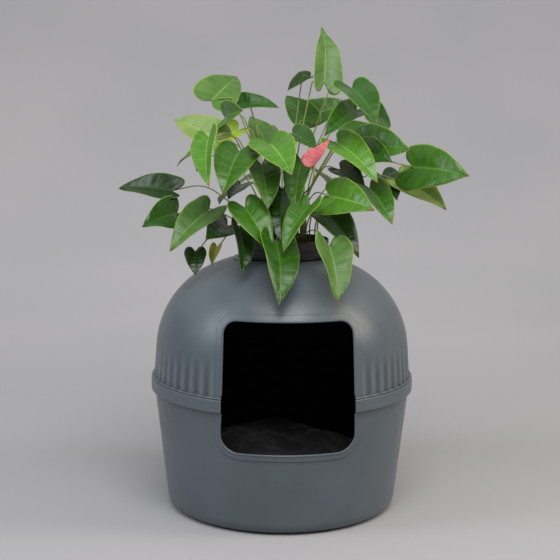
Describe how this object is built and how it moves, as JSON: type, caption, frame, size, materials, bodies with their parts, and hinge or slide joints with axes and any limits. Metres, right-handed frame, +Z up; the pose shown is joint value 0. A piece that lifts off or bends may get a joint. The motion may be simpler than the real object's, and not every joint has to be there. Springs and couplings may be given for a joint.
{
  "type": "cat litter box",
  "caption": "Round covered cat litter box: deep pan, lift-off domed hood with a front doorway, and a planter well in the crown holding a leafy potted plant; soft pad inside",
  "frame": {"origin": "centre of the pan's flat foot, on the floor", "axes": "+Z up along the shells' common axis, -Y out of the doorway, +X to the right seen from the front"},
  "size_m": [0.6454, 0.4952, 0.9102],
  "materials": {
    "shell": "fine moulded texture, satin",
    "nursery_pot": "thin moulded, satin",
    "soil": "loose bark and peat",
    "plush": "long soft pile",
    "leaf": "waxy",
    "spathe": "waxy",
    "spadix": "fine bumps"
  },
  "bodies": {
    "base": {"litter_pan": "shell"},
    "hood": {"hood": "shell", "planter_cup": "shell"},
    "plant": {"plant_pot": "nursery_pot", "potting_soil": "soil", "leaf_01": "leaf", "leaf_02": "leaf", "leaf_03": "leaf", "leaf_04": "leaf", "leaf_05": "leaf", "leaf_06": "leaf", "leaf_07": "leaf", "leaf_08": "leaf", "leaf_09": "leaf", "leaf_10": "leaf", "leaf_11": "leaf", "leaf_12": "leaf", "leaf_13": "leaf", "leaf_14": "leaf", "leaf_15": "leaf", "leaf_16": "leaf", "leaf_17": "leaf", "leaf_18": "leaf", "leaf_19": "leaf", "leaf_20": "leaf", "leaf_21": "leaf", "leaf_22": "leaf", "leaf_23": "leaf", "leaf_24": "leaf", "leaf_25": "leaf", "leaf_26": "leaf", "leaf_27": "leaf", "leaf_28": "leaf", "leaf_29": "leaf", "leaf_30": "leaf", "leaf_31": "leaf", "leaf_32": "leaf", "leaf_33": "leaf", "leaf_34": "leaf", "leaf_35": "leaf", "leaf_36": "leaf", "leaf_37": "leaf", "leaf_38": "leaf", "leaf_39": "leaf", "leaf_40": "leaf", "leaf_41": "leaf", "leaf_42": "leaf", "leaf_43": "leaf", "leaf_44": "leaf", "leaf_45": "leaf", "leaf_46": "leaf", "leaf_47": "leaf", "leaf_48": "leaf", "leaf_49": "leaf", "leaf_50": "leaf", "flower_stalk": "leaf", "spathe": "spathe", "spadix": "spadix"},
    "pad": {"plush_pad": "plush"}
  },
  "joints": [
    {"name": "hood_lift", "type": "slide", "parent": "base", "child": "hood", "axis": [0, 0, 1], "range_m": [0, 0.35]},
    {"name": "pot_lift", "type": "slide", "parent": "hood", "child": "plant", "axis": [0, 0, 1], "range_m": [0, 0.2]},
    {"name": "pad_lift", "type": "slide", "parent": "base", "child": "pad", "axis": [0, 0, 1], "range_m": [0, 0.225]}
  ]
}
